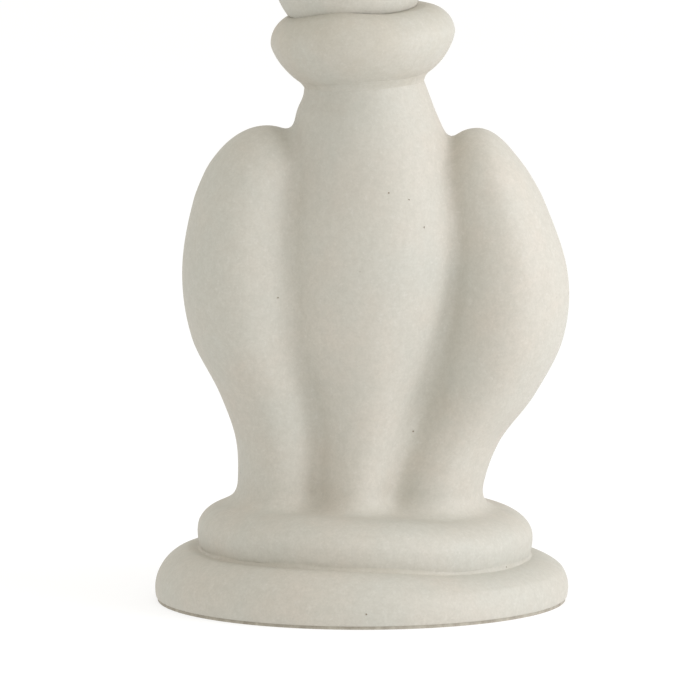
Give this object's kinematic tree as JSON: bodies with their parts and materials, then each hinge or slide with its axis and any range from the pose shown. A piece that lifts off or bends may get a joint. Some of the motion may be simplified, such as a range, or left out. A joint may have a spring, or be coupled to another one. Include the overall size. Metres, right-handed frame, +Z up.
{
  "type": "giant chess piece",
  "caption": "Giant lawn chess piece: round stepped plinth, three-lobed vase body, fat collar and a lift-off ball head, hollow cast stone on a tie rod with a sand-fill plug underneath.",
  "frame": {"origin": "on the ground, under the centre of the round base", "axes": "+Z up along the tie rod, front (the view with one lobe each side of the middle body) towards -Y, +X to the right of that view"},
  "size_m": [0.2515, 0.251, 0.4309],
  "materials": {
    "cast_stone": "matte off-white cast stone, fine grain",
    "foot_rubber": "matte pale grey-brown rubber",
    "seal_rubber": "matte black rubber",
    "galvanised_plate": "dull galvanised sheet",
    "zinc_steel": "bright zinc plate",
    "port_alloy": "turned alloy",
    "brass": "knurled brass",
    "sand": "dry kiln sand"
  },
  "bodies": {
    "stand": {"foot_ring": "foot_rubber", "lower_plinth": "cast_stone", "base_plate": "galvanised_plate", "base_screws": "zinc_steel", "threaded_inserts": "brass", "fill_port": "port_alloy", "sand_ballast": "sand", "body_gasket": "seal_rubber", "locating_dowels": "zinc_steel", "body_casting": "cast_stone", "tie_rod": "zinc_steel", "base_washer": "zinc_steel", "base_nut": "zinc_steel", "neck_plate": "galvanised_plate", "spring_washer": "zinc_steel", "neck_nut": "zinc_steel", "collar": "cast_stone", "head_socket": "port_alloy", "head_gasket": "seal_rubber"},
    "head": {"head_casting": "cast_stone", "head_spigot": "port_alloy"},
    "seal": {"plug_seal": "seal_rubber"},
    "plug": {"fill_plug": "port_alloy"}
  },
  "joints": [
    {"name": "head_lift", "type": "slide", "parent": "stand", "child": "head", "axis": [-0.0785, 0, 0.9969], "range_m": [0, 0.06]},
    {"name": "plug_out", "type": "slide", "parent": "stand", "child": "seal", "axis": [0, 0, -1], "range_m": [0, 0.00605]},
    {"name": "plug_turn", "type": "hinge", "parent": "seal", "child": "plug", "pos_m": [0, -0.034, 0.012], "axis": [0, 0, -1], "range_deg": [0, 720]}
  ],
  "couplings": [
    {"joint": "plug_out", "follows": "plug_turn", "m_per_rad": 0.00047746}
  ]
}
